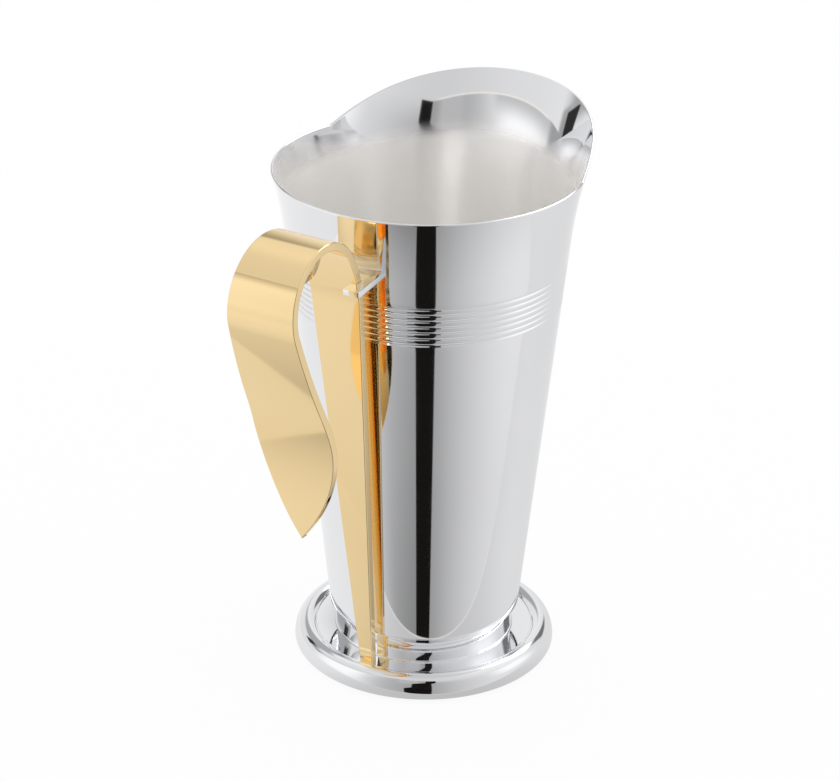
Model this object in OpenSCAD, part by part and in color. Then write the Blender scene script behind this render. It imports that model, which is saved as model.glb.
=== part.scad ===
// A tapered water pitcher with a raised pouring lip and one bent ribbon as its handle.
// Sizes are in millimetres. Z is up, the table is z = 0 and the cup turns about the Z axis.
// The lip points along +X and the handle along -X.

/* [Cup] */
// Outside radius of the cup at its lower edge
cup_foot_r = 39.2; // [38:0.2:44]
// Height of the cup from its lower edge to its rim
cup_h = 190.2; // [170:1:220]
// Outside radius of the rim
rim_r = 61.9; // [58:0.1:68]
// How far the flare takes the rim out from the top of the cone
flare_out = 5; // [3.5:0.1:8]
// Height of the flared part, measured down from the rim
flare_h = 26.6; // [18:0.2:34]
// Thickness of the cup's wall
wall = 1.0; // [0.8:0.05:1.5]

/* [Reeded band] */
// Number of reeds between the grooves
reed_count = 6; // [3:1:9]
// Distance from groove to groove
reed_pitch = 2.57; // [2:0.05:3.2]
// Depth of the grooves
reed_depth = 0.5; // [0.2:0.05:0.6]
// Distance from the rim down to the top groove
reed_drop = 36.9; // [35:0.5:60]

/* [Pouring lip] */
// Height of the lip's tip above the rim
lip_rise = 18; // [12:0.2:24]
// How far the lip's tip reaches out past the rim
lip_reach = 11.8; // [6:0.1:16]
// Angle from the middle of the lip to each of its ends
lip_half_angle = 72.5; // [55:0.5:80]
// Depth of the seam below the rim, under the tip
lip_seam_drop = 22; // [16:0.5:30]
// Height of the lip's sheet at its two ends
lip_end_h = 1.4; // [1:0.1:3]
// Power of the cosine that shapes the lip's rise
lip_rise_power = 0.97; // [0.8:0.01:1.4]
// Power of the cosine that shapes the lip's reach
lip_reach_power = 1.53; // [1.2:0.01:2]

/* [Bottom disc] */
// Thickness of the disc that closes the cup
disc_t = 1.2; // [0.8:0.1:2.5]

/* [Foot] */
// Outside radius of the foot
foot_r = 54; // [52:0.2:60]
// Half the width of the oval bead at the foot's edge
bead_half_w = 5.3; // [4.6:0.1:6]
// Height of the bead's widest place above the table
bead_mid_h = 3.8; // [3.2:0.1:4.4]
// Height of the bead from its widest place to its top
bead_up = 7.6; // [6.8:0.1:8.4]
// How far the bead is flattened where it rests
bead_flat = 0.15; // [0.1:0.05:0.3]
// How far the bead's sheet curls back up inside, as the angle left open
bead_curl = 30; // [15:1:50]
// Thickness of the foot's sheet
foot_t = 1.2; // [0.8:0.1:1.6]
// Height of the flat ledge inside the bead
ledge_h = 9.2; // [8.4:0.1:9.8]
// Width of the soft turn between the ledge and the bead
valley_w = 0.4; // [0.2:0.05:0.8]
// Outside radius of the neck between the ledge and the cup
neck_r = 36.5; // [33:0.2:37.8]
// Height of the neck above the ledge
neck_h = 11.6; // [8:0.2:18]
// Radius of the fillet between the neck and the ledge
neck_fillet = 0.8; // [0.4:0.1:2]
// Width of the flange inside the neck's top
flange_w = 3.5; // [2:0.5:8]

/* [Handle] */
// Thickness of the ribbon
ribbon_t = 3.2; // [2.4:0.1:3.6]
// Width of the ribbon where it stands on the foot
ribbon_foot_w = 5.8; // [5:0.1:9]
// Greatest width of the ribbon, at the leaf
ribbon_leaf_w = 35.2; // [30:0.2:40]
// Length of the leaf's pointed end
ribbon_point_l = 48; // [36:1:60]
// Radius of the ribbon's eased edges
ribbon_ease = 0.4; // [0.2:0.05:0.6]
// Distance from the end of the flat ledge in to the ribbon's outer face
strip_inset = 0.2; // [0.1:0.1:1]
// Distance from the start of the flare out to the strip's outer face
strip_stand = 10.1; // [8:0.1:14]
// Distance from the rim down to the end of the straight strip
strip_drop = 33.1; // [32:0.1:50]
// Outside radius of the bend above the strip
shoulder_r = 52.3; // [48:0.5:60]
// Angle of that bend
shoulder_turn = 29.4; // [26:0.2:34]
// Outside radius of the loop at the top
loop_r = 23.8; // [21:0.2:27]
// Angle of the loop
loop_turn = 160.5; // [154:0.5:166]
// Outside radius of the slow bend below the loop
fall_r = 270; // [200:5:340]
// Angle of that slow bend
fall_turn = 8.1; // [5:0.1:11]
// Outside radius of the leaf's turn back to upright
sweep_r = 112; // [90:1:130]
// Length of the straight end at the leaf's tip
tail_l = 10.9; // [6:0.1:16]

/* [Bracket] */
// Width of the bracket plate
bracket_w = 31.7; // [28:0.1:36]
// Thickness of the plate
bracket_t = 2.4; // [1.6:0.1:3]
// How far up the bend above the strip the plate sits
bracket_up = 9.9; // [8:0.1:13]
// Length of the two prongs in front of the ribbon
prong_l = 5.5; // [3:0.1:8]
// Width of the open notch between the prongs
notch_w = 17.5; // [12:0.5:20]
// Radius of the plate's outer corners
bracket_round = 1.2; // [0.5:0.1:2.5]

/* [Fits] */
// Solder gap between the plate or the disc and the cup
solder_gap = 0.05; // [0.02:0.01:0.15]
// Gap round the ribbon in the plate's slot
slot_gap = 0.1; // [0.05:0.01:0.25]

/* [Hidden] */
$fn = 96;

bead_x = foot_r - bead_half_w;
// Angle on the bead's oval at which its inner side comes down to the ledge
bead_start_a = 180 - asin((ledge_h - bead_mid_h) / bead_up);
valley_r = bead_x + bead_half_w * cos(bead_start_a);
ledge_r = valley_r - valley_w;
arc_steps = 6;
bead_steps = 24;

cup_z = ledge_h + neck_h;
rim_z = cup_z + cup_h;
flare_z = rim_z - flare_h;
flare_r = rim_r - flare_out;
cup_taper = (flare_r - cup_foot_r) / (flare_z - cup_z);

// The flare is the arc that leaves the cone smoothly and ends at the rim
flare_a = atan(cup_taper);
flare_off = flare_out * cos(flare_a) - flare_h * sin(flare_a);
flare_arc_r = (flare_out * flare_out + flare_h * flare_h) / (2 * flare_off);
flare_steps = 10;

reed_steps = 6;
reed_top_z = rim_z - reed_drop;

lip_columns = 56;
lip_rows = 14;
lip_end_x = rim_r * cos(lip_half_angle);
lip_seam_slope = (lip_seam_drop - lip_end_h) / (rim_r - lip_end_x);

half_t = ribbon_t / 2;
// The strip's outer face starts near the ledge's edge and leans out past the flare
strip_foot_x = ledge_r - strip_inset;
strip_lean = atan((flare_r + strip_stand - strip_foot_x) / (flare_z - ledge_h));
strip_l = (rim_z - strip_drop - ledge_h) / cos(strip_lean);
strip_heading = 90 - strip_lean;
// The leaf's tip hangs upright
sweep_turn = shoulder_turn + loop_turn + fall_turn + strip_lean - 180;
// The ribbon's middle line starts on the ledge
ribbon_start = [strip_foot_x - half_t / cos(strip_lean), ledge_h];
// Its stretches: the bend's radius or 0 where straight, the length or the signed turn, the steps
ribbon_path = [
    [0, strip_l, 8],
    [shoulder_r - half_t, -shoulder_turn, 10],
    [loop_r - half_t, -loop_turn, 40],
    [fall_r - half_t, -fall_turn, 8],
    [sweep_r + half_t, sweep_turn, 20],
    [0, tail_l, 10]
];
tip_half_w = 0.3;

function cup_r(z) =
    z < flare_z
        ? cup_foot_r + (z - cup_z) * cup_taper
        : flare_r + flare_arc_r * (cos(flare_a) - cos(asin(sin(flare_a) + (z - flare_z) / flare_arc_r)));

// Points of an arc, from one angle to the other
function arc(c, r, from, to, steps) = [
    for (i = [0 : steps])
        let (a = from + (to - from) * i / steps)
            [c[0] + r * cos(a), c[1] + r * sin(a)]
];

// How deep the reeded band lies below the cone, at t pitches above its lowest groove
function reed_dip(t) =
    let (u = 2 * (t - floor(t)) - 1)
        reed_depth * u * u;

reed_profile = [
    for (i = [0 : reed_count * reed_steps])
        let (t = i / reed_steps, z = reed_top_z - (reed_count - t) * reed_pitch)
            [cup_r(z) - reed_dip(t), z]
];
reed_edge_h = reed_pitch / 3;
reed_low_z = reed_top_z - reed_count * reed_pitch;

cup_outside = concat(
    [[cup_r(cup_z), cup_z], [cup_r(reed_low_z - reed_edge_h), reed_low_z - reed_edge_h]],
    reed_profile,
    [[cup_r(reed_top_z + reed_edge_h), reed_top_z + reed_edge_h]],
    [for (i = [0 : flare_steps]) let (z = flare_z + flare_h * i / flare_steps) [cup_r(z), z]]
);

cup_inside = concat(
    [for (i = [flare_steps : -1 : 0]) let (z = flare_z + flare_h * i / flare_steps) [cup_r(z) - wall, z]],
    [[cup_r(cup_z) - wall, cup_z]]
);

// The rounded edge of the rim, from outside to inside
rim_edge = arc([rim_r - wall / 2, rim_z], wall / 2, 30, 150, 4);

// Height of the seam plane, which falls towards the tip
function seam_z(x) = rim_z - lip_end_h - (x - lip_end_x) * lip_seam_slope;

// Everything of the cup that makes way for the lip
module lip_opening() {
    far = 2 * rim_r;
    rotate([90, 0, 0])
        linear_extrude(height = 2 * far, center = true)
            polygon([
                [lip_end_x, seam_z(lip_end_x)],
                [far, seam_z(far)],
                [far, rim_z + far],
                [lip_end_x, rim_z + far]
            ]);
}

module body() {
    color("silver")
        difference() {
            rotate_extrude()
                polygon(concat(cup_outside, rim_edge, cup_inside));
            lip_opening();
        }
}

// The disc's edge follows the inside of the cup
module bottom_disc() {
    color("silver")
        translate([0, 0, cup_z])
            cylinder(
                h = disc_t,
                r1 = cup_r(cup_z) - wall - solder_gap,
                r2 = cup_r(cup_z + disc_t) - wall - solder_gap
            );
}

// Azimuth of a point of the lip: u runs from -1 to 1, and both ends lie in one plane
function lip_az(u, r) = u * acos(lip_end_x / r);

// Radius at which the seam plane meets the cup's wall, found by repeated steps
function seam_r(u, inset, r, n) =
    n == 0 ? r : seam_r(u, inset, cup_r(seam_z(r * cos(lip_az(u, r)))) - inset, n - 1);

function lip_edge(u) =
    let (c = cos(90 * u))
        [rim_r + lip_reach * pow(c, lip_reach_power), rim_z + lip_rise * pow(c, lip_rise_power)];

function bow(a, b, c, t) = (1 - t) * (1 - t) * a + 2 * t * (1 - t) * b + t * t * c;

// One section of the lip's sheet, as points of radius and height
function lip_section(u) =
    let (
        ro = seam_r(u, 0, rim_r - wall, 12),
        ri = seam_r(u, wall, rim_r - 2 * wall, 12),
        a = [ro, seam_z(ro * cos(lip_az(u, ro)))],
        ai = [ri, seam_z(ri * cos(lip_az(u, ri)))],
        c = lip_edge(u),
        lift = (c[1] - a[1]) / 2,
        slope = (cup_r(a[1]) - cup_r(a[1] - 1)),
        b = [a[0] + lift * slope, a[1] + lift],
        end_a = atan2(c[0] - b[0], c[1] - b[1]),
        onward = [sin(end_a), cos(end_a)],
        inward = [-cos(end_a), sin(end_a)],
        ci = c + wall * inward,
        bi = b + wall * [-cos(end_a / 2), sin(end_a / 2)],
        mid = (c + ci) / 2
    )
    concat(
        [for (i = [0 : lip_rows]) bow(a, b, c, i / lip_rows)],
        [for (q = [45, 90, 135]) mid + wall / 2 * (sin(q) * onward - cos(q) * inward)],
        [for (i = [lip_rows : -1 : 0]) bow(ai, bi, ci, i / lip_rows)]
    );

// Side faces between rings of n points each, which run clockwise as seen from the last ring
function ring_sides(rings, n) = [
    for (i = [0 : rings - 2], j = [0 : n - 1])
        let (a = i * n + j, b = i * n + (j + 1) % n)
            for (f = [[a, b, b + n], [a, b + n, a + n]]) f
];

module pouring_lip() {
    n = 2 * lip_rows + 5;
    last = lip_columns * n;
    points = [
        for (i = [0 : lip_columns])
            let (u = 2 * i / lip_columns - 1)
                for (p = lip_section(u))
                    let (az = lip_az(u, p[0]))
                        [p[0] * cos(az), p[0] * sin(az), p[1]]
    ];
    // Each end is closed by strips between the outside and the inside of the sheet
    ends = [
        for (j = [0 : lip_rows + 1])
            let (a = j, b = j + 1, c = n - 2 - j, d = n - 1 - j)
                for (f = b == c ? [[a, d, b]] : [[a, c, b], [a, d, c]]) f
    ];
    color("silver")
        polyhedron(
            points = points,
            faces = concat(
                ring_sides(lip_columns + 1, n),
                ends,
                [for (f = ends) [f[2] + last, f[1] + last, f[0] + last]]
            )
        );
}

// The bead is drawn by two half ovals of one width, the upper one higher than the lower one
bead_down = bead_mid_h + bead_flat;
function bead_at(a, inset) = [
    bead_x + (bead_half_w - inset) * cos(a),
    bead_mid_h + ((a > 0 ? bead_up : bead_down) - inset) * sin(a)
];

function bead_arc(from, to, inset, steps) =
    [for (i = [0 : steps]) bead_at(from + (to - from) * i / steps, inset)];

// Angles at which the bead's lower side leaves the ledge's, the soft turn ends and the flat rest begins
bead_start_in_a = 180 - asin((ledge_h - foot_t - bead_mid_h) / (bead_up - foot_t));
valley_end_a = bead_start_a - 5;
bead_rest_a = asin(bead_mid_h / bead_down);

// The upper side of the foot's sheet, from the flange out over the bead and into its curl
foot_outside = concat(
    [[neck_r - flange_w, cup_z], [neck_r, cup_z]],
    arc([neck_r + neck_fillet, ledge_h + neck_fillet], neck_fillet, 180, 270, arc_steps),
    [for (i = [0 : 3]) bow([ledge_r, ledge_h], [valley_r, ledge_h], bead_at(valley_end_a, 0), i / 4)],
    bead_arc(valley_end_a, 0, 0, bead_steps),
    bead_arc(-6, -bead_rest_a, 0, bead_steps / 2),
    bead_arc(bead_rest_a - 180, bead_curl - 180, 0, arc_steps)
);

// The lower side, back from the curl to the flange
foot_inside = concat(
    bead_arc(bead_curl - 180, -6, foot_t, bead_steps / 2),
    bead_arc(0, bead_start_in_a, foot_t, bead_steps),
    arc([neck_r + neck_fillet, ledge_h + neck_fillet], neck_fillet + foot_t, 270, 180, arc_steps),
    [[neck_r - foot_t, cup_z - foot_t], [neck_r - flange_w, cup_z - foot_t]]
);

module foot() {
    color("silver")
        rotate_extrude()
            polygon(concat(foot_outside, foot_inside));
}

function dir(a) = [cos(a), sin(a)];

function stretch_l(st) = st[0] == 0 ? st[1] : st[0] * abs(st[1]) * PI / 180;

// Place and heading a part t of the way along a stretch that starts at p with heading h
function along(p, h, st, t) =
    st[0] == 0
        ? [p + st[1] * t * dir(h), h]
        : let (side = sign(st[1]) * st[0], turned = h + st[1] * t)
            [p + side * dir(h + 90) - side * dir(turned + 90), turned];

// All stations of the ribbon: place, heading and distance from its foot
function walk(i, p, h, s) =
    i == len(ribbon_path)
        ? [[p, h, s]]
        : let (st = ribbon_path[i], l = stretch_l(st), n = st[2], end = along(p, h, st, 1))
            concat(
                [for (k = [0 : n - 1]) let (q = along(p, h, st, k / n)) [q[0], q[1], s + l * k / n]],
                walk(i + 1, end[0], end[1], s + l)
            );

ribbon_l = [for (st = ribbon_path) stretch_l(st)] * [for (st = ribbon_path) 1];
ribbon_wide_s = ribbon_l - ribbon_point_l;
leaf_half = ribbon_leaf_w / 2;
// The leaf's point is drawn by one arc on each side
point_arc_r = (ribbon_point_l * ribbon_point_l + leaf_half * leaf_half) / (2 * leaf_half);

// Half the ribbon's width, at a distance from its foot
function ribbon_half(s) =
    s < ribbon_wide_s
        ? ribbon_foot_w / 2 + (leaf_half - ribbon_foot_w / 2) * s / ribbon_wide_s
        : max(tip_half_w, sqrt(pow(point_arc_r, 2) - pow(s - ribbon_wide_s, 2)) - point_arc_r + leaf_half);

// One section of the ribbon; the first one is cut level, to stand on the ledge
function ribbon_ring(station, level) =
    let (
        w = ribbon_half(station[2]),
        ease = min(ribbon_ease, w / 2),
        h = station[1]
    )
    [
        for (corner = [3 : -1 : 0], q = [90, 45, 0])
            let (
                a = corner * 90 + q,
                sx = corner == 0 || corner == 3 ? 1 : -1,
                sn = corner < 2 ? 1 : -1,
                y = sx * (w - ease) + ease * cos(a),
                n = sn * (half_t - ease) + ease * sin(a),
                back = level ? -n * sin(h - 90) / sin(h) : 0,
                p = station[0] + n * dir(h - 90) + back * dir(h)
            )
                [-p[0], y, p[1]]
    ];

module handle() {
    stations = walk(0, ribbon_start, strip_heading, 0);
    count = len(stations);
    n = 12;
    last = (count - 1) * n;
    points = [for (i = [0 : count - 1]) for (p = ribbon_ring(stations[i], i == 0)) p];
    color("gold")
        polyhedron(
            points = points,
            faces = concat(
                ring_sides(count, n),
                [for (j = [1 : n - 2]) [0, j + 1, j]],
                [for (j = [1 : n - 2]) [last, last + j, last + j + 1]]
            )
        );
}

// The plate lies square to the straight strip, where the ribbon has begun to bend
shoulder_start = along(ribbon_start, strip_heading, ribbon_path[0], 1);
plate_at = along(shoulder_start[0], strip_heading, ribbon_path[1], bracket_up / stretch_l(ribbon_path[1]));
plate_skew = strip_heading - plate_at[1];
slot_half_l = (half_t + bracket_t / 2 * sin(plate_skew)) / cos(plate_skew) + slot_gap;
slot_half_w = ribbon_half(strip_l + bracket_up) + slot_gap;
plate_front = slot_half_l + prong_l;
plate_back = plate_at[0][0] - cup_foot_r;

module cup_envelope(grow) {
    rotate_extrude()
        polygon(concat([[0, cup_z]], [for (p = cup_outside) [p[0] + grow, p[1]]], [[0, rim_z]]));
}

module plate_outline() {
    corner_x = plate_front - bracket_round;
    corner_y = bracket_w / 2 - bracket_round;
    difference() {
        polygon(concat(
            [[-plate_back, -bracket_w / 2]],
            arc([corner_x, -corner_y], bracket_round, -90, 0, arc_steps),
            arc([corner_x, corner_y], bracket_round, 0, 90, arc_steps),
            [[-plate_back, bracket_w / 2]]
        ));
        square([2 * slot_half_l, 2 * slot_half_w], center = true);
        translate([0, -notch_w / 2])
            square([2 * plate_front, notch_w]);
    }
}

module handle_bracket() {
    color("silver")
        difference() {
            translate([-plate_at[0][0], 0, plate_at[0][1]])
                rotate([0, strip_lean, 180])
                    linear_extrude(height = bracket_t, center = true)
                        plate_outline();
            cup_envelope(solder_gap);
        }
}

body();
bottom_disc();
pouring_lip();
foot();
handle();
handle_bracket();
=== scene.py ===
# A silver-plated water pitcher with a gold-plated ribbon handle, dressed for a studio picture.
# Sizes of the pitcher are in millimetres, as in the part's source; meshes are made in metres.
# The studio's places are in metres, and its azimuths in degrees.
import math

import bmesh
import bpy
import numpy as np
from mathutils import Matrix, Vector


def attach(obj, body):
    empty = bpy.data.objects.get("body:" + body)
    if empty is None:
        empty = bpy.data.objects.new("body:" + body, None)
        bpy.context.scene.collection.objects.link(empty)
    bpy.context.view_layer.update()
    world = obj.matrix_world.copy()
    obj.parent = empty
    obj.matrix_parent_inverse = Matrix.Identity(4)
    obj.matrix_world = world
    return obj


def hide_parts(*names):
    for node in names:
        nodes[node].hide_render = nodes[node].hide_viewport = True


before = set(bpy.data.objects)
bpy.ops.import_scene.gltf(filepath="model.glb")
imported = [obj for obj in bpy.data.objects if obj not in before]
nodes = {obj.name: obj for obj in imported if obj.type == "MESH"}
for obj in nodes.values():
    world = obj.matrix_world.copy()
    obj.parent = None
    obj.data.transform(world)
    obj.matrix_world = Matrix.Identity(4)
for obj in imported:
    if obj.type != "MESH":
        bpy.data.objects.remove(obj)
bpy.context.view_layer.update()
scene = bpy.context.scene

# Cup: a cone that flares out to the rim
CUP_FOOT_R = 39.2
CUP_H = 190.2
CUP_EDGE_R = 0.3
RIM_R = 61.9
FLARE_OUT = 5.0
FLARE_H = 26.6
WALL = 1.0

# Reeded band
REEDS = 6
REED_PITCH = 2.57
REED_DEPTH = 0.5
REED_DROP = 36.9

# Pouring lip: LIP_HALF is the angle from its middle to each end
LIP_RISE = 18.0
LIP_REACH = 11.8
LIP_HALF = 72.5
LIP_SEAM_DROP = 22.0
LIP_END_H = 1.4
LIP_RISE_POWER = 0.97
LIP_REACH_POWER = 1.53

# Foot: a neck, a flat ledge, a valley and an oval bead that curls in underneath
FOOT_R = 54.0
FOOT_T = 1.2
BEAD_HALF_W = 5.3
BEAD_MID_H = 3.8
BEAD_UP = 7.6
BEAD_FLAT = 0.15
BEAD_CURL = 30.0
BEAD_BLEND = 5
LEDGE_Z = 9.2
VALLEY_W = 0.4
NECK_R = 36.5
NECK_H = 11.6
NECK_FILLET = 0.8
NECK_EDGE_R = 0.45
FLANGE_W = 3.5

# Ribbon handle: a strip from the ledge upwards, a shoulder, a loop, a fall and a sweeping leaf
RIBBON_T = 3.2
RIBBON_FOOT_W = 5.8
RIBBON_LEAF_W = 35.2
RIBBON_POINT_L = 48.0
RIBBON_POINT_HALF_W = 0.3
RIBBON_EASE = 0.4
STRIP_INSET = 0.2
STRIP_STAND = 10.1
STRIP_DROP = 33.1
SHOULDER_R = 52.3
SHOULDER_TURN = 29.4
LOOP_R = 23.8
LOOP_TURN = 160.5
FALL_R = 270.0
FALL_TURN = 8.1
SWEEP_R = 112.0
TAIL_L = 10.9

# Rounding of the bracket plate's edges
BRACKET_EASE = 0.18

# Worked out from the sizes above
BEAD_X = FOOT_R - BEAD_HALF_W
BEAD_DOWN = BEAD_MID_H + BEAD_FLAT
BEAD_START = 180 - math.degrees(math.asin((LEDGE_Z - BEAD_MID_H) / BEAD_UP))
VALLEY_R = BEAD_X + BEAD_HALF_W * math.cos(math.radians(BEAD_START))
LEDGE_R = VALLEY_R - VALLEY_W
CUP_Z = LEDGE_Z + NECK_H
RIM_Z = CUP_Z + CUP_H
FLARE_Z = RIM_Z - FLARE_H
FLARE_R = RIM_R - FLARE_OUT
TAPER = (FLARE_R - CUP_FOOT_R) / (FLARE_Z - CUP_Z)
FLARE_A = math.atan(TAPER)
FLARE_ARC = (FLARE_OUT**2 + FLARE_H**2) / (2 * (FLARE_OUT * math.cos(FLARE_A) - FLARE_H * math.sin(FLARE_A)))
REED_TOP = RIM_Z - REED_DROP
REED_LOW = REED_TOP - REEDS * REED_PITCH
REED_EDGE = REED_PITCH / 3
LIP_END_X = RIM_R * math.cos(math.radians(LIP_HALF))
SEAM_SLOPE = (LIP_SEAM_DROP - LIP_END_H) / (RIM_R - LIP_END_X)

# How finely the meshes are made
LIP_COLS = 240
REST_COLS = 380
LIP_ROWS = 30
CONE_ROWS = 40
REED_ROWS = 14
FLARE_ROWS = 24
INSIDE_ROWS = 59
FOOT_COLS = 512
CORNER_STEPS = 6


def arc(centre, r, a0, a1, steps):
    """Points on an arc between two angles in degrees."""
    a = np.radians(np.linspace(a0, a1, steps + 1))
    return np.stack([centre[0] + r * np.cos(a), centre[1] + r * np.sin(a)], -1)


def bow(p, q, s, t):
    """Point at the share t of a quadratic curve from p to s, drawn towards q."""
    return (1 - t) ** 2 * p + 2 * t * (1 - t) * q + t * t * s


def make_mesh(name, points_mm, faces, normals=None):
    mesh = bpy.data.meshes.new(name)
    mesh.from_pydata((np.asarray(points_mm) * 0.001).tolist(), [], [tuple(map(int, f)) for f in faces])
    mesh.validate()
    mesh.shade_smooth()
    if normals is not None:
        mesh.normals_split_custom_set_from_vertices(np.asarray(normals).tolist())
    mesh.update()
    obj = bpy.data.objects.new(name, mesh)
    scene.collection.objects.link(obj)
    return obj


def grid_faces(rows, cols, closed, flip=False):
    i, j = np.meshgrid(np.arange(rows - 1), np.arange(cols if closed else cols - 1), indexing="ij")
    k = (j + 1) % cols
    quads = np.stack([i * cols + j, i * cols + k, (i + 1) * cols + k, (i + 1) * cols + j], -1).reshape(-1, 4)
    return quads[:, ::-1] if flip else quads


def closed_grid_normals(p):
    """Smooth normals of a grid of points, rows x columns, whose columns go all round."""
    down = np.gradient(p, axis=0)
    along = np.roll(p, -1, 1) - np.roll(p, 1, 1)
    n = np.cross(along, down)
    return n / np.linalg.norm(n, axis=-1, keepdims=True)


# The cup's outline and the seam of the lip

def cup_r(z):
    """Outside radius of the cup at a height."""
    z = np.asarray(z, float)
    s = np.clip(math.sin(FLARE_A) + (z - FLARE_Z) / FLARE_ARC, -1, 1)
    return np.where(
        z < FLARE_Z,
        CUP_FOOT_R + (z - CUP_Z) * TAPER,
        FLARE_R + FLARE_ARC * (math.cos(FLARE_A) - np.sqrt(1 - s * s)),
    )


def reed_dip(z):
    """How far the reeded band lies below the plain cone."""
    t = (z - REED_LOW) / REED_PITCH
    u = 2 * (t - np.floor(t)) - 1
    dip = np.where((t >= 0) & (t <= REEDS), REED_DEPTH * u * u, 0)
    below, above = (REED_LOW - z) / REED_EDGE, (z - REED_TOP) / REED_EDGE
    dip = np.where((below > 0) & (below < 1), REED_DEPTH * (1 - below), dip)
    return np.where((above > 0) & (above < 1), REED_DEPTH * (1 - above), dip)


def seam_z(x):
    """Height of the lip's seam, which lies in a sloping plane."""
    return RIM_Z - LIP_END_H - (x - LIP_END_X) * SEAM_SLOPE


def lip_az(u, r):
    """Angle round the cup for u from -1 to 1 across the lip, at a radius."""
    return u * np.arccos(LIP_END_X / r)


def seam_r(u, inset):
    """Radius of the seam on the outside, or on the inside with the wall as inset."""
    r = np.full(np.shape(u), RIM_R - WALL - inset, float)
    for _ in range(16):
        r = cup_r(seam_z(r * np.cos(lip_az(u, r)))) - inset
    return r


# The cup's wall and the lip, made as one smooth grid and then parted at the seam

def ring(r, z, az):
    return np.stack([r * np.cos(az), r * np.sin(az), z * np.ones(np.shape(r))], -1)


def cone_heights():
    """Heights of the rows outside, from the cup's lower edge to the top of the reeded band."""
    return np.concatenate(
        [
            np.linspace(CUP_Z + 2 * CUP_EDGE_R, REED_LOW - REED_EDGE, CONE_ROWS),
            np.linspace(REED_LOW - REED_EDGE, REED_LOW, 6)[1:],
            np.linspace(REED_LOW, REED_TOP, REEDS * REED_ROWS + 1)[1:],
            np.linspace(REED_TOP, REED_TOP + REED_EDGE, 6)[1:],
        ]
    )


def lip_controls(u):
    """Seam, middle and edge of the lip's two faces as radius and height, and its edge's two directions."""
    so, si = seam_r(u, 0), seam_r(u, WALL)
    seam = np.stack([so, seam_z(so * np.cos(lip_az(u, so)))], -1)
    seam_in = np.stack([si, seam_z(si * np.cos(lip_az(u, si)))], -1)
    c = np.clip(np.cos(math.pi / 2 * u), 0, None)
    edge = np.stack([RIM_R + LIP_REACH * c**LIP_REACH_POWER, RIM_Z + LIP_RISE * c**LIP_RISE_POWER], -1)
    lift = (edge[:, 1] - seam[:, 1]) / 2
    slope = cup_r(seam[:, 1]) - cup_r(seam[:, 1] - 1)
    middle = seam + np.stack([lift * slope, lift], -1)
    lean = np.arctan2(edge[:, 0] - middle[:, 0], edge[:, 1] - middle[:, 1])
    inward = np.stack([-np.cos(lean), np.sin(lean)], -1)
    onward = np.stack([np.sin(lean), np.cos(lean)], -1)
    edge_in = edge + WALL * inward
    middle_in = middle + WALL * np.stack([-np.cos(lean / 2), np.sin(lean / 2)], -1)
    return (seam, middle, edge), (seam_in, middle_in, edge_in), inward, onward


def sheet_grid():
    """The grid from the cup's lower edge up the outside, over the rim and down the inside."""
    u = np.linspace(-1, 1, LIP_COLS + 1)
    outer, inner, inward, onward = lip_controls(u)
    az_lip = lip_az(u, outer[0][:, 0])
    rest = np.linspace(az_lip[-1], 2 * math.pi + az_lip[0], REST_COLS + 1)[1:-1]
    az = np.concatenate([az_lip, rest])
    plain_top = np.full(len(rest), RIM_Z - LIP_END_H)
    top = np.concatenate([outer[0][:, 1], plain_top])
    top_in = np.concatenate([inner[0][:, 1], plain_top])

    def lip_row(lip_points, rest_r, rest_z):
        lip_part = ring(lip_points[:, 0], lip_points[:, 1], lip_az(u, lip_points[:, 0]))
        return np.concatenate([lip_part, ring(np.full(len(rest), rest_r), rest_z, rest)])

    rows = []
    for r, z in arc((CUP_FOOT_R - CUP_EDGE_R, CUP_Z + CUP_EDGE_R), CUP_EDGE_R, -90, 0, 4):
        rows.append(ring(np.full(len(az), r + (z - CUP_Z) * TAPER), z, az))
    for z in cone_heights():
        rows.append(ring(np.full(len(az), float(cup_r(z) - reed_dip(np.array(z)))), z, az))
    flare_low = REED_TOP + REED_EDGE
    for t in np.linspace(0, 1, FLARE_ROWS + 1)[1:]:
        z = flare_low + (top - flare_low) * t
        rows.append(ring(cup_r(z), z, az))
    seam_row = len(rows) - 1
    # the lip's outer face, and the last of the flare where there is no lip
    for t in np.linspace(0, 1, LIP_ROWS + 1)[1:]:
        z = RIM_Z - LIP_END_H * (1 - t)
        rows.append(lip_row(bow(*outer, t), float(cup_r(z)), z))
    # the rounded edge
    mid = (outer[2] + inner[2]) / 2
    for q in np.radians(np.linspace(0, 180, 9)[1:-1]):
        p = mid + WALL / 2 * (math.sin(q) * onward - math.cos(q) * inward)
        rows.append(lip_row(p, RIM_R - WALL / 2 * (1 - math.cos(q)), RIM_Z + WALL / 2 * math.sin(q)))
    for t in np.linspace(1, 0, LIP_ROWS + 1):
        z = RIM_Z - LIP_END_H * (1 - t)
        rows.append(lip_row(bow(*inner, t), float(cup_r(z)) - WALL, z))
    seam_in_row = len(rows) - 1
    for t in np.linspace(1, 0, INSIDE_ROWS + 1)[1:]:
        z = CUP_Z + (top_in - CUP_Z) * t
        rows.append(ring(cup_r(z) - WALL, z, az))
    return np.stack(rows), seam_row, seam_in_row


def make_cup_and_lip():
    sheet, seam_row, seam_in_row = sheet_grid()
    normals = closed_grid_normals(sheet).reshape(-1, 3)
    points = sheet.reshape(-1, 3)
    n_rows, n_cols = sheet.shape[:2]
    quads = grid_faces(n_rows, n_cols, True)
    row, col = quads[:, 0] // n_cols, quads[:, 0] % n_cols
    is_lip = (row >= seam_row) & (row < seam_in_row) & (col < LIP_COLS)

    def part(name, keep):
        used, back = np.unique(quads[keep], return_inverse=True)
        return make_mesh(name, points[used], back.reshape(-1, 4), normals[used])

    return part("cup_wall", ~is_lip), part("lip_sheet", is_lip)


# The foot, a spun profile

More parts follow.
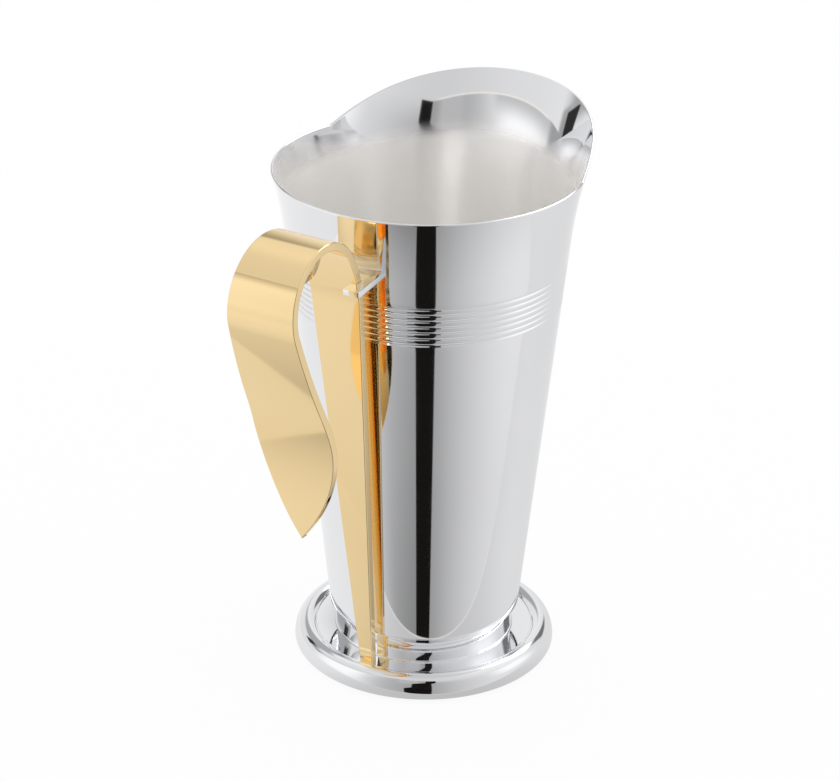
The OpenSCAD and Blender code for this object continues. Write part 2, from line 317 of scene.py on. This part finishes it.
def bead_arc(a0, a1, inset, steps):
    """Points on the foot's bead, an oval that is higher above its middle than below it."""
    a = np.radians(np.linspace(a0, a1, steps + 1))
    high = np.where(a > 0, BEAD_UP, BEAD_DOWN) - inset
    return np.stack([BEAD_X + (BEAD_HALF_W - inset) * np.cos(a), BEAD_MID_H + high * np.sin(a)], -1)


def foot_profile():
    start_in = 180 - math.degrees(math.asin((LEDGE_Z - FOOT_T - BEAD_MID_H) / (BEAD_UP - FOOT_T)))
    rest = math.degrees(math.asin(BEAD_MID_H / BEAD_DOWN))
    fillet = (NECK_R + NECK_FILLET, LEDGE_Z + NECK_FILLET)
    bead_first = bead_arc(BEAD_START - BEAD_BLEND, BEAD_START - BEAD_BLEND, 0, 0)[0]
    t = np.linspace(0, 1, 9)[:-1, None]
    outside = [
        np.array([[NECK_R - FLANGE_W, CUP_Z]]),
        arc((NECK_R - NECK_EDGE_R, CUP_Z - NECK_EDGE_R), NECK_EDGE_R, 90, 0, 8),
        np.array([[NECK_R, CUP_Z - 3], [NECK_R, CUP_Z - 7]]),
        arc(fillet, NECK_FILLET, 180, 270, 12),
        bow(np.array([LEDGE_R, LEDGE_Z]), np.array([VALLEY_R, LEDGE_Z]), bead_first, t),
        bead_arc(BEAD_START - BEAD_BLEND, -rest, 0, 130),
        bead_arc(rest - 180, BEAD_CURL - 180, 0, 14),
    ]
    inside = [
        bead_arc(BEAD_CURL - 180, start_in, FOOT_T, 90),
        arc(fillet, NECK_FILLET + FOOT_T, 270, 180, 10),
        np.array([[NECK_R - FOOT_T, CUP_Z - FOOT_T], [NECK_R - FLANGE_W, CUP_Z - FOOT_T]]),
    ]
    return np.concatenate(outside + inside)


def spin(name, profile, cols):
    """A closed profile of radius and height, spun about the cup's axis."""
    a = np.linspace(0, 2 * math.pi, cols, endpoint=False)
    r, z = profile[:, 0, None], profile[:, 1, None]
    p = np.stack([r * np.cos(a), r * np.sin(a), z + 0 * a], -1)
    rows = len(profile)
    obj = make_mesh(name, p.reshape(-1, 3), grid_faces(rows + 1, cols, True) % (rows * cols))
    obj.data.set_sharp_from_angle(angle=math.radians(40))
    return obj


# The ribbon, swept along its middle line

def heading_unit(h):
    return np.array([math.cos(h), math.sin(h)])


def left_unit(h):
    return np.array([-math.sin(h), math.cos(h)])


def ribbon_stations():
    """Place, heading and run at each station of the middle line, as distance from the axis and height."""
    half_t = RIBBON_T / 2
    foot_x = LEDGE_R - STRIP_INSET
    lean = math.atan((FLARE_R + STRIP_STAND - foot_x) / (FLARE_Z - LEDGE_Z))
    strip_l = (RIM_Z - STRIP_DROP - LEDGE_Z) / math.cos(lean)
    sweep_turn = SHOULDER_TURN + LOOP_TURN + FALL_TURN + math.degrees(lean) - 180
    # radius, turn and steps of each stretch, or 0, its length and steps where it is straight
    path = [
        (0, strip_l, 48),
        (SHOULDER_R - half_t, -SHOULDER_TURN, 24),
        (LOOP_R - half_t, -LOOP_TURN, 110),
        (FALL_R - half_t, -FALL_TURN, 24),
        (SWEEP_R + half_t, sweep_turn, 60),
        (0, TAIL_L, 30),
    ]

    def along(place, heading, r, amount, t):
        if r == 0:
            return place + amount * t * heading_unit(heading), heading
        new = heading + math.radians(amount) * t
        return place + math.copysign(r, amount) * (left_unit(heading) - left_unit(new)), new

    place = np.array([foot_x - half_t / math.cos(lean), LEDGE_Z])
    heading, run = math.pi / 2 - lean, 0.0
    stations = []
    for r, amount, steps in path:
        length = amount if r == 0 else r * abs(math.radians(amount))
        for i in range(steps):
            t = i / steps
            stations.append((*along(place, heading, r, amount, t), run + length * t))
        place, heading = along(place, heading, r, amount, 1.0)
        run += length
    stations.append((place, heading, run))
    return stations


def ribbon_half(v, length):
    """Half the ribbon's width at a run v: it widens steadily and ends in a point of two arcs."""
    widest, leaf_half = length - RIBBON_POINT_L, RIBBON_LEAF_W / 2
    if v < widest:
        return RIBBON_FOOT_W / 2 + (leaf_half - RIBBON_FOOT_W / 2) * v / widest
    point_r = (RIBBON_POINT_L**2 + leaf_half**2) / (2 * leaf_half)
    return max(RIBBON_POINT_HALF_W, math.sqrt(point_r**2 - (v - widest) ** 2) - point_r + leaf_half)


def make_ribbon():
    stations = ribbon_stations()
    length = stations[-1][2]
    half_t = RIBBON_T / 2
    # the run to either side over which the widening is measured
    near = 0.05
    pts, nrm = [], []
    for i, (place, heading, v) in enumerate(stations):
        w = ribbon_half(v, length)
        ease = min(RIBBON_EASE, w / 2)
        before, after = ribbon_half(v - near, length), ribbon_half(min(v + near, length), length)
        rate = (after - before) / (2 * near)
        out, on = -left_unit(heading), heading_unit(heading)
        for corner in range(3, -1, -1):
            side_y, side_n = (1 if corner in (0, 3) else -1), (1 if corner < 2 else -1)
            for a in np.radians(corner * 90 + np.linspace(90, 0, CORNER_STEPS + 1)):
                y = side_y * (w - ease) + ease * math.cos(a)
                n = side_n * (half_t - ease) + ease * math.sin(a)
                # the first station is cut level, to stand on the ledge
                back = -n * math.sin(heading - math.pi / 2) / math.sin(heading) if i == 0 else 0
                c = place + n * out + back * on
                m = math.sin(a) * out - abs(math.cos(a)) * rate * on
                pts.append([-c[0], y, c[1]])
                nrm.append([-m[0], math.cos(a), m[1]])
    per = 4 * (CORNER_STEPS + 1)
    rows = len(stations)
    pts, nrm = np.array(pts), np.array(nrm)
    nrm /= np.linalg.norm(nrm, axis=1, keepdims=True)
    faces = [tuple(f) for f in grid_faces(rows, per, True, flip=True)]
    # the two ends, with points of their own so that they stay flat
    all_p, all_n = [pts], [nrm]
    for k, row in enumerate((0, rows - 1)):
        all_p.append(pts[row * per : (row + 1) * per])
        all_n.append(np.tile([0, 0, -1.0], (per, 1)))
        first = len(pts) + k * per
        order = list(range(first, first + per))
        faces.append(tuple(order[::-1] if row == 0 else order))
    return make_mesh("ribbon_handle", np.concatenate(all_p), faces, np.concatenate(all_n))


# The bracket plate, which is the CAD shape with its edges softened

def softened(node, name, width):
    obj = bpy.data.objects.new(name, nodes[node].data.copy())
    scene.collection.objects.link(obj)
    bm = bmesh.new()
    bm.from_mesh(obj.data)
    bmesh.ops.remove_doubles(bm, verts=bm.verts, dist=1e-6)
    bmesh.ops.dissolve_limit(bm, angle_limit=math.radians(3), verts=bm.verts, edges=bm.edges)
    sharp = [e for e in bm.edges if len(e.link_faces) == 2 and e.calc_face_angle(0) > math.radians(35)]
    bmesh.ops.bevel(bm, geom=sharp, offset=width, segments=3, profile=0.5, affect="EDGES")
    bm.to_mesh(obj.data)
    bm.free()
    obj.data.shade_smooth()
    obj.data.set_sharp_from_angle(angle=math.radians(30))
    return obj


# Materials

SILVER_LIGHT = (0.935, 0.938, 0.952, 1)
SILVER_DEEP = (0.92, 0.923, 0.94, 1)
SATIN_LIGHT = (0.972, 0.956, 0.935, 1)
SATIN_DEEP = (0.965, 0.948, 0.926, 1)
GOLD_LIGHT = (1.0, 0.77, 0.425, 1)
GOLD_DEEP = (0.99, 0.755, 0.405, 1)

# Roughness: a middle value, or the values of the clearest and the cloudiest places
SILVER_ROUGH = 0.05
GOLD_ROUGH = 0.06
CUP_ROUGH = (0.03, 0.06)
SATIN_ROUGH = (0.262, 0.268)
# Satin silver scatters light, so it counts as less of a metal
SATIN_METALLIC = 0.55
# Polish is uneven by a trace: its strength, and the depth in metres on the cup and on the rest
UNEVEN = 0.015
UNEVEN_DEPTH_CUP = 0.00002
UNEVEN_DEPTH = 0.00001

# Where the satin ends, in metres: a little under the rim, and higher on the lip
SATIN_TOP = 0.2029
SATIN_LIP_RISE = 0.006
SATIN_LIP_AZ = 1.35
SATIN_WOBBLE = 0.0016
# It fades in from so far above that line to so far below it
SATIN_FADE = (0.003, -0.006)
# The closing disc's upper face lies below this height
ABOVE_DISC = 0.026


class Graph:
    """Short names for building a node tree."""

    def __init__(self, tree):
        self.nodes, self.links = tree.nodes, tree.links

    def new(self, kind, **props):
        n = self.nodes.new(kind)
        for k, v in props.items():
            setattr(n, k, v)
        return n

    def put(self, socket, value):
        if isinstance(value, bpy.types.NodeSocket):
            self.links.new(value, socket)
        elif value is not None:
            socket.default_value = value

    def math(self, op, a, b=None, c=None):
        n = self.new("ShaderNodeMath", operation=op)
        for i, v in enumerate((a, b, c)):
            self.put(n.inputs[i], v)
        return n.outputs[0]

    def both(self, a, b):
        return self.math("MULTIPLY", a, b)

    def either(self, a, b):
        return self.math("MAXIMUM", a, b)

    def span(self, v, a0, a1, b0=0.0, b1=1.0, smooth=True):
        """b0 to b1 while v goes from a0 to a1."""
        n = self.new("ShaderNodeMapRange", interpolation_type="SMOOTHSTEP" if smooth else "LINEAR")
        for i, x in enumerate((v, a0, a1, b0, b1)):
            self.put(n.inputs[i], x)
        return n.outputs[0]

    def zone(self, v, low, high, soft):
        """1 from low to high, fading over soft at both ends."""
        return self.both(self.span(v, low - soft, low + soft), self.span(v, high + soft, high - soft))

    def mix(self, f, a, b):
        n = self.new("ShaderNodeMix", data_type="RGBA")
        self.put(n.inputs[0], f)
        self.put(n.inputs[6], a)
        self.put(n.inputs[7], b)
        return n.outputs[2]

    def blend(self, f, a, b):
        n = self.new("ShaderNodeMix", data_type="FLOAT")
        self.put(n.inputs[0], f)
        self.put(n.inputs[2], a)
        self.put(n.inputs[3], b)
        return n.outputs[0]

    def shader_mix(self, f, a, b):
        n = self.new("ShaderNodeMixShader")
        self.put(n.inputs[0], f)
        self.put(n.inputs[1], a)
        self.put(n.inputs[2], b)
        return n.outputs[0]

    def smooth_ramp(self, f, stops):
        n = self.new("ShaderNodeValToRGB")
        n.color_ramp.interpolation = "B_SPLINE"
        els = n.color_ramp.elements
        while len(els) < len(stops):
            els.new(0.5)
        for el, (p, v) in zip(els, stops):
            el.position = p
            el.color = (v, v, v, 1)
        self.put(n.inputs[0], f)
        return n.outputs[0]

    def noise(self, vector, scale, detail=2.0, rough=0.5):
        n = self.new("ShaderNodeTexNoise")
        self.put(n.inputs["Vector"], vector)
        n.inputs["Scale"].default_value = scale
        n.inputs["Detail"].default_value = detail
        n.inputs["Roughness"].default_value = rough
        return n.outputs[0]

    def stretch(self, vector, scale):
        n = self.new("ShaderNodeMapping")
        self.put(n.inputs["Vector"], vector)
        n.inputs["Scale"].default_value = scale
        return n.outputs[0]

    def xyz(self, vector):
        n = self.new("ShaderNodeSeparateXYZ")
        self.put(n.inputs[0], vector)
        return n.outputs


def material(name):
    m = bpy.data.materials.new(name)
    m.use_nodes = True
    m.node_tree.nodes.clear()
    g = Graph(m.node_tree)
    return m, g, g.new("ShaderNodeOutputMaterial")


def cloudy(g, cloud, pale, deep):
    return g.mix(g.span(cloud, 0.35, 0.65), pale, deep)


def uneven(g, pos, strength, depth):
    """The faint unevenness that polishing leaves."""
    bump = g.new("ShaderNodeBump")
    bump.inputs["Distance"].default_value = depth
    g.put(bump.inputs["Strength"], strength)
    g.put(bump.inputs["Height"], g.noise(pos, 900.0, 2.0))
    return bump.outputs[0]


def polished(name, pale, deep, rough):
    """Mirror-polished plate, a little cloudy in colour and gloss."""
    m, g, out = material(name)
    pos = g.new("ShaderNodeNewGeometry").outputs["Position"]
    b = g.new("ShaderNodeBsdfPrincipled")
    b.inputs["Metallic"].default_value = 1.0
    cloud = g.noise(pos, 18.0, 3.0)
    g.put(b.inputs["Base Color"], cloudy(g, cloud, pale, deep))
    g.put(b.inputs["Roughness"], g.span(cloud, 0.3, 0.7, rough * 0.7, rough * 1.3))
    g.put(b.inputs["Normal"], uneven(g, pos, UNEVEN, UNEVEN_DEPTH))
    g.links.new(b.outputs[0], out.inputs[0])
    return m


def satin_shares(g, pos, normal):
    """How satin the cup's metal is at a place, and how much its brushing runs round the cup there."""
    x, y, z = g.xyz(pos)
    nx, ny, nz = g.xyz(normal)
    # inside where the surface looks at the axis
    facing = g.math("ADD", g.both(x, nx), g.both(y, ny))
    inner = g.span(facing, -0.004, -0.014)
    az = g.math("ARCTAN2", y, x)
    on_lip = g.span(g.math("ABSOLUTE", az), SATIN_LIP_AZ, 0.0)
    line = g.math("ADD", g.math("MULTIPLY", on_lip, SATIN_LIP_RISE), SATIN_TOP)
    wobble = g.math("MULTIPLY", g.math("SUBTRACT", g.noise(pos, 60.0, 3.0), 0.5), SATIN_WOBBLE)
    level = g.math("SUBTRACT", g.math("ADD", z, wobble), line)
    brushed = g.both(inner, g.span(level, *SATIN_FADE))
    # the disc at the bottom is satin too, with no direction in its brushing
    disc = g.both(g.span(nz, 0.7, 0.9), g.span(z, ABOVE_DISC + 0.004, ABOVE_DISC))
    return g.either(brushed, disc), brushed


def cup_silver():
    """Mirror polish outside and on the lip, brushed satin inside the cup."""
    m, g, out = material("silver_cup")
    geo = g.new("ShaderNodeNewGeometry")
    pos = geo.outputs["Position"]
    satin, brushed = satin_shares(g, pos, geo.outputs["Normal"])
    lines = g.noise(g.stretch(pos, (4.0, 4.0, 240.0)), 3.0, 2.0, 0.5)
    cloud = g.noise(pos, 22.0, 3.0)
    b = g.new("ShaderNodeBsdfPrincipled")
    g.put(b.inputs["Metallic"], g.blend(satin, 1.0, SATIN_METALLIC))
    plain = cloudy(g, cloud, SILVER_LIGHT, SILVER_DEEP)
    warm = cloudy(g, lines, SATIN_LIGHT, SATIN_DEEP)
    g.put(b.inputs["Base Color"], g.mix(satin, plain, warm))
    rough_polish = g.span(cloud, 0.3, 0.7, *CUP_ROUGH)
    rough_satin = g.span(cloud, 0.3, 0.7, *SATIN_ROUGH)
    g.put(b.inputs["Roughness"], g.blend(satin, rough_polish, rough_satin))
    # the brushing runs round the cup, so it spreads light up and down
    g.put(b.inputs["Anisotropic"], brushed)
    up = g.new("ShaderNodeCombineXYZ")
    up.inputs[2].default_value = 1.0
    g.put(b.inputs["Tangent"], up.outputs[0])
    g.put(b.inputs["Normal"], uneven(g, pos, g.blend(satin, UNEVEN, 0.0), UNEVEN_DEPTH_CUP))
    g.links.new(b.outputs[0], out.inputs[0])
    return m


def dress(obj, metal):
    """Give every face of a piece one metal, also where the piece came with materials."""
    for i in range(len(obj.data.materials)):
        obj.data.materials[i] = metal
    if not obj.data.materials:
        obj.data.materials.append(metal)


def build_pitcher():
    silver = polished("silver_polished", SILVER_LIGHT, SILVER_DEEP, SILVER_ROUGH)
    gold = polished("gold_polished", GOLD_LIGHT, GOLD_DEEP, GOLD_ROUGH)
    cup_metal = cup_silver()
    cup, lip = make_cup_and_lip()
    foot = spin("foot_spun", foot_profile(), FOOT_COLS)
    ribbon = make_ribbon()
    plate = softened("handle_bracket", "bracket_plate", BRACKET_EASE / 1000)
    for obj, node, slot, metal in (
        (cup, "body", "silver", cup_metal),
        (lip, "pouring_lip", "silver", cup_metal),
        (foot, "foot", "silver", silver),
        (ribbon, "handle", "gold", gold),
        (plate, "handle_bracket", "silver", silver),
    ):
        dress(obj, metal)
        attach(obj, "root")
        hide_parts(node)
    dress(nodes["bottom_disc"], cup_metal)


build_pitcher()


# The studio: a light tent that only reflections see, a white sky for everything else, and a table.
# Directions are counted from the camera: azimuth 0 is towards it, and positive to its right.

VIEW_TURN = math.radians(58.2)
WALL_R = 0.75
WALL_LEVELS = (-1.4, -0.8, -0.4, -0.2, 0.0, 0.2, 0.4, 0.6, 0.8, 1.1, 1.6)
WALL_COLS = 120
TABLE_SIZE = 4.0
TABLE_CELLS = 8
# Strength of all that metal reflects, to make up for what polished silver swallows
SHEEN = 1.06

# Brightness by azimuth, as display values from 0 to 255
PANEL_TONES = (
    (-180, 236), (-150, 226), (-120, 220), (-100, 228), (-84, 242), (-68, 247), (-55, 228),
    (-40, 190), (-26, 174), (-12, 160), (0, 155), (13, 170), (24, 187), (37, 201), (54, 216),
    (70, 224), (86, 228), (105, 219), (150, 218), (180, 236),
)
CEILING_TONES = (
    (-180, 226), (-155, 236), (-135, 238), (-110, 224), (-60, 218), (-20, 206), (0, 206),
    (20, 208), (45, 216), (75, 234), (110, 242), (150, 246), (180, 222),
)
# The table's glow for polished metal by azimuth, as display values: painted shade, darkest in front of the
# foot where shade falls and lightest at the back
TABLE_PAINTED_SHADE_TONES = (
    (-180, 250), (-165, 250), (-150, 240), (-130, 233), (-105, 230), (-80, 229), (-60, 226),
    (-45, 216), (-25, 194), (0, 184), (30, 192), (60, 207), (85, 220), (105, 219), (135, 217),
    (155, 224), (180, 246),
)

# Patches of the wall: two azimuths and their softness, then two heights and their softness
LEFT_LAMP = (-96, -60, 13, 0.05, 0.56, 0.08)
RIGHT_LAMP = (66, 104, 14, 0.12, 0.50, 0.09)
HIGH_LAMP = (124, 158, 6, 0.64, 1.45, 0.06)
HIGH_LAMP_LIGHT = (4.2, 4.2, 4.2, 1)
SIDE_PANEL = (-119, -103, 3, 0.26, 0.475, 0.02)
LEFT_SHADE = (-172, -117, 6, 0.36, 0.85, 0.06)
LEFT_OPENING = (-127, -117, 0.8, 0.22, 0.44, 0.008)
RIGHT_OPENING = (129, 152, 3.5, 0.22, 0.56, 0.05)

# Their brightness, and that of the studio's edges, as display values
LAMP_TONE = 253
LAMP_FADED_TONE = 190
SIDE_PANEL_TONE = 157
BESIDE_GAP_TONE = 181
SHADE_TONE = 135
OPENING_TONE = 45
GAP_TONE = (22, 20, 19)
CARD_EDGE_TONE = (236, 232, 225)
TABLE_EDGE_TONE = (238, 233, 226)
OVERHEAD_TONE = (196, 196, 195)

# The left front card reaches from one azimuth to the other. Its top edge is at least CARD_LOW high,
# and higher by CARD_RISE at azimuth -CARD_TURN
CARD_LEFT = -112
CARD_RIGHT = 9
CARD_LOW = 0.215
CARD_RISE = 0.6
CARD_TURN = 35.0

# The cards darken towards the floor. The share of light that stays at the bottom is given
# for the far left, for the left side near the gap and for the right side
CARD_DARK = (0.58, 0.64, 0.82)
# Heights where the darkening is complete and where it starts, each for the far left and elsewhere
CARD_DARK_BOTTOM = (-0.95, -0.64)
CARD_DARK_TOP = (-0.12, -0.30)

# The gap between the cards that the camera looks through
GAP_LEFT = -9.5
GAP_RIGHT = 7.0
GAP_TOP = 0.69
# Above this stretch of heights its two sides lie further to the right
GAP_SHIFT_SPAN = (0.34, 0.48)
GAP_SHIFT_LEFT = 11.5
GAP_SHIFT_RIGHT = 4.5
# Over these heights, about the table's, it is wider on the left
GAP_WIDE_SPAN = (-0.26, 0.06, 0.05)
GAP_WIDER = 6.0

# The table's front edge, which runs close before the foot and a little askew
TABLE_EDGE = -0.064
TABLE_SKEW = 0.13

# Camera: its place in the studio, its turns in radians and its focal length in pixels
CAMERA_EYE = (0, -1.10121, 0.62844)
CAMERA_PITCH = 0.4365
CAMERA_YAW = -0.0023
CAMERA_ROLL = -0.0094
FOCAL_PX = 3000
PICTURE_W_PX = 840
SENSOR_W = 36.0


def gray(v):
    """Linear light for a display value from 0 to 255."""
    v /= 255.0
    return v / 12.92 if v <= 0.04045 else ((v + 0.055) / 1.055) ** 2.4


def light(red, green=None, blue=None):
    """Colour for display values, grey where only one is given."""
    if green is None:
        green = blue = red
    return (gray(red), gray(green), gray(blue), 1)


def studio_place(g, vector):
    """A place or direction on the studio's axes, with its azimuth in degrees."""
    turn = g.new("ShaderNodeVectorRotate", rotation_type="Z_AXIS")
    g.put(turn.inputs["Vector"], vector)
    turn.inputs["Angle"].default_value = VIEW_TURN
    x, y, z = g.xyz(turn.outputs[0])
    az = g.math("MULTIPLY", g.math("ARCTAN2", x, g.math("MULTIPLY", y, -1.0)), 180 / math.pi)
    return x, y, z, az


def round_tone(g, az, tones):
    """Brightness all round, from display values at a few azimuths."""
    share = g.math("MULTIPLY_ADD", az, 1 / 360, 0.5)
    return g.smooth_ramp(share, [((a + 180) / 360, gray(v)) for a, v in tones])


def patch(g, az, z, left, right, az_soft, low, high, z_soft):
    """1 on a patch of the wall, fading at its edges."""
    return g.both(g.zone(az, left, right, az_soft), g.zone(z, low, high, z_soft))


def ceiling_tone(g, az, z):
    return g.mix(g.span(z, 0.85, 1.0), round_tone(g, az, CEILING_TONES), light(*OVERHEAD_TONE))


def emission(g, colour):
    n = g.new("ShaderNodeEmission")
    g.put(n.inputs[0], colour)
    n.inputs[1].default_value = SHEEN
    return n.outputs[0]


def make_world():
    world = bpy.data.worlds.new("studio")
    world.use_nodes = True
    world.node_tree.nodes.clear()
    g = Graph(world.node_tree)
    out = g.new("ShaderNodeOutputWorld")
    _, _, z, az = studio_place(g, g.new("ShaderNodeTexCoord").outputs["Generated"])
    colour = g.mix(g.span(z, -0.05, 0.05), round_tone(g, az, PANEL_TONES), ceiling_tone(g, az, z))
    for_metal = g.new("ShaderNodeBackground")
    g.put(for_metal.inputs[0], colour)
    for_metal.inputs[1].default_value = SHEEN
    plain = g.new("ShaderNodeBackground")
    plain.inputs[0].default_value = (1, 1, 1, 1)
    glossy_ray = g.new("ShaderNodeLightPath").outputs["Is Glossy Ray"]
    g.links.new(g.shader_mix(glossy_ray, plain.outputs[0], for_metal.outputs[0]), out.inputs[0])
    scene.world = world


def above_card(g, az, z):
    """Height over the top edge of the left front card."""
    turn = g.math("COSINE", g.math("MULTIPLY", g.math("ADD", az, CARD_TURN), math.pi / 180))
    top = g.math("MULTIPLY_ADD", g.math("MAXIMUM", turn, 0.0), CARD_RISE, CARD_LOW)
    return g.math("SUBTRACT", z, top)


def card_tone(g, az, z, over):
    """The cards and side panels with their lamps, up to the ceiling."""
    near = g.span(az, -52, -34)
    left_dark = g.blend(near, CARD_DARK[0], CARD_DARK[1])
    dark = g.blend(g.span(az, -9, 9), left_dark, CARD_DARK[2])
    bottom = g.blend(near, *CARD_DARK_BOTTOM)
    top = g.blend(near, *CARD_DARK_TOP)
    share = g.span(z, bottom, top, dark, 1.0, smooth=False)
    tone = g.mix(share, (0, 0, 0, 1), round_tone(g, az, PANEL_TONES))
    lamps = g.either(patch(g, az, z, *LEFT_LAMP), patch(g, az, z, *RIGHT_LAMP))
    tone = g.mix(lamps, tone, light(LAMP_TONE))
    # the lamp on the left fades towards the card's top edge, and beside it is a grey side panel
    fades = g.both(g.zone(az, CARD_LEFT, -50, 5), g.span(over, -0.22, 0.0))
    tone = g.mix(fades, tone, light(LAMP_FADED_TONE))
    tone = g.mix(patch(g, az, z, *SIDE_PANEL), tone, light(SIDE_PANEL_TONE))
    # the card is lighter high up beside the gap
    upper = g.both(g.zone(az, -24, -4, 4), g.span(z, 0.2, 0.5))
    return g.mix(upper, tone, light(BESIDE_GAP_TONE))


def camera_gap(g, az, z):
    """1 in the gap that the camera looks through."""
    moved = g.span(z, *GAP_SHIFT_SPAN)
    wider = g.math("MULTIPLY", g.zone(z, *GAP_WIDE_SPAN), GAP_WIDER)
    left = g.math("ADD", g.math("SUBTRACT", az, g.math("MULTIPLY", moved, GAP_SHIFT_LEFT)), wider)
    right = g.math("SUBTRACT", az, g.math("MULTIPLY", moved, GAP_SHIFT_RIGHT))
    past_left = g.span(left, GAP_LEFT - 0.4, GAP_LEFT + 0.4)
    before_right = g.span(right, GAP_RIGHT + 0.4, GAP_RIGHT - 0.4)
    return g.both(g.both(past_left, before_right), g.span(z, GAP_TOP + 0.004, GAP_TOP - 0.004))


def make_tent():
    """The light tent's wall, seen by reflections alone."""
    turns = [2 * math.pi * i / WALL_COLS for i in range(WALL_COLS)]
    r = WALL_R * 1000
    p = [[r * math.cos(a), r * math.sin(a), level * 1000] for level in WALL_LEVELS for a in turns]
    wall = make_mesh("tent_wall", p, grid_faces(len(WALL_LEVELS), WALL_COLS, True))
    m, g, out = material("tent_light")
    _, _, z, az = studio_place(g, g.new("ShaderNodeNewGeometry").outputs["Position"])
    over = above_card(g, az, z)
    on_card = g.zone(az, CARD_LEFT, CARD_RIGHT, 2)
    # the card on the left ends in an edge, and elsewhere the panels fade into the ceiling
    above = g.blend(on_card, g.span(z, 0.35, 0.75), g.span(over, -0.004, 0.004))
    colour = g.mix(above, card_tone(g, az, z, over), ceiling_tone(g, az, 0.0))
    shade = g.math("MULTIPLY", patch(g, az, z, *LEFT_SHADE), 0.75)
    colour = g.mix(shade, colour, light(SHADE_TONE))
    colour = g.mix(patch(g, az, z, *HIGH_LAMP), colour, HIGH_LAMP_LIGHT)
    # dark openings behind the side lamps
    right_opening = g.math("MULTIPLY", patch(g, az, z, *RIGHT_OPENING), 0.8)
    openings = g.either(patch(g, az, z, *LEFT_OPENING), right_opening)
    colour = g.mix(openings, colour, light(OPENING_TONE))
    # the card's edge shows as a cream line
    brim = g.both(g.both(on_card, g.zone(az, -100, -1, 3)), g.zone(over, -0.008, 0.008, 0.004))
    colour = g.mix(brim, colour, light(*CARD_EDGE_TONE))
    colour = g.mix(camera_gap(g, az, z), colour, light(*GAP_TONE))
    g.links.new(emission(g, colour), out.inputs[0])
    m.cycles.emission_sampling = "NONE"
    wall.data.materials.append(m)
    wall.visible_camera = wall.visible_diffuse = wall.visible_shadow = False
    wall.visible_transmission = wall.visible_volume_scatter = False


def make_floor():
    """The white table. Polished metal sees it glow with painted shade, darker in front of the foot, up to
    its front edge, and past it the cards.
    """
    steps = [(i / TABLE_CELLS - 0.5) * TABLE_SIZE * 1000 for i in range(TABLE_CELLS + 1)]
    p = [[x, y, 0] for y in steps for x in steps]
    floor = make_mesh("table", p, grid_faces(TABLE_CELLS + 1, TABLE_CELLS + 1, False))
    m, g, out = material("table_white")
    x, y, _, az = studio_place(g, g.new("ShaderNodeNewGeometry").outputs["Position"])
    line = g.math("ADD", y, g.math("MULTIPLY", x, -TABLE_SKEW))
    beyond = g.span(line, TABLE_EDGE + 0.0005, TABLE_EDGE - 0.0005)
    brim = g.zone(line, TABLE_EDGE - 0.0005, TABLE_EDGE + 0.0005, 0.0008)
    # for metal the table glows with painted shade by azimuth, with a cream line at its edge
    seen = g.mix(brim, round_tone(g, az, TABLE_PAINTED_SHADE_TONES), light(*TABLE_EDGE_TONE))
    cloth = g.new("ShaderNodeBsdfDiffuse")
    cloth.inputs[0].default_value = (0.96, 0.96, 0.96, 1)
    glow = g.new("ShaderNodeEmission")
    glow.inputs[0].default_value = (1, 1, 1, 1)
    through = g.new("ShaderNodeBsdfTransparent")
    ray = g.new("ShaderNodeLightPath")
    # the camera sees it nearly white, with the pitcher's soft shadow left in
    for_camera = g.shader_mix(0.9, cloth.outputs[0], glow.outputs[0])
    body = g.shader_mix(ray.outputs["Is Camera Ray"], cloth.outputs[0], for_camera)
    for_metal = g.shader_mix(beyond, emission(g, seen), through.outputs[0])
    g.links.new(g.shader_mix(ray.outputs["Is Glossy Ray"], body, for_metal), out.inputs[0])
    m.cycles.emission_sampling = "NONE"
    floor.data.materials.append(m)


def make_camera():
    pitch, yaw, roll = CAMERA_PITCH, CAMERA_YAW, CAMERA_ROLL
    turn = Matrix.Rotation(-VIEW_TURN, 3, "Z")
    level = math.cos(pitch)
    ahead = turn @ Vector((math.sin(yaw) * level, math.cos(yaw) * level, -math.sin(pitch)))
    right = turn @ Vector((math.cos(yaw), -math.sin(yaw), 0))
    down = ahead.cross(right)
    rolled_right = math.cos(roll) * right + math.sin(roll) * down
    rolled_down = -math.sin(roll) * right + math.cos(roll) * down
    cam = bpy.data.objects.new("camera", bpy.data.cameras.new("camera"))
    cam.data.sensor_width = SENSOR_W
    cam.data.lens = FOCAL_PX * SENSOR_W / PICTURE_W_PX
    cam.data.clip_start = 0.01
    cam.data.clip_end = 50.0
    axes = Matrix((rolled_right, -rolled_down, -ahead)).transposed()
    cam.matrix_world = Matrix.Translation(turn @ Vector(CAMERA_EYE)) @ axes.to_4x4()
    scene.collection.objects.link(cam)
    scene.camera = cam


make_world()
make_tent()
make_floor()
make_camera()

# polished sheets face each other here, so a reflection is followed further than usual
scene.cycles.max_bounces = 16
scene.cycles.glossy_bounces = 14
scene.view_settings.view_transform = "Standard"
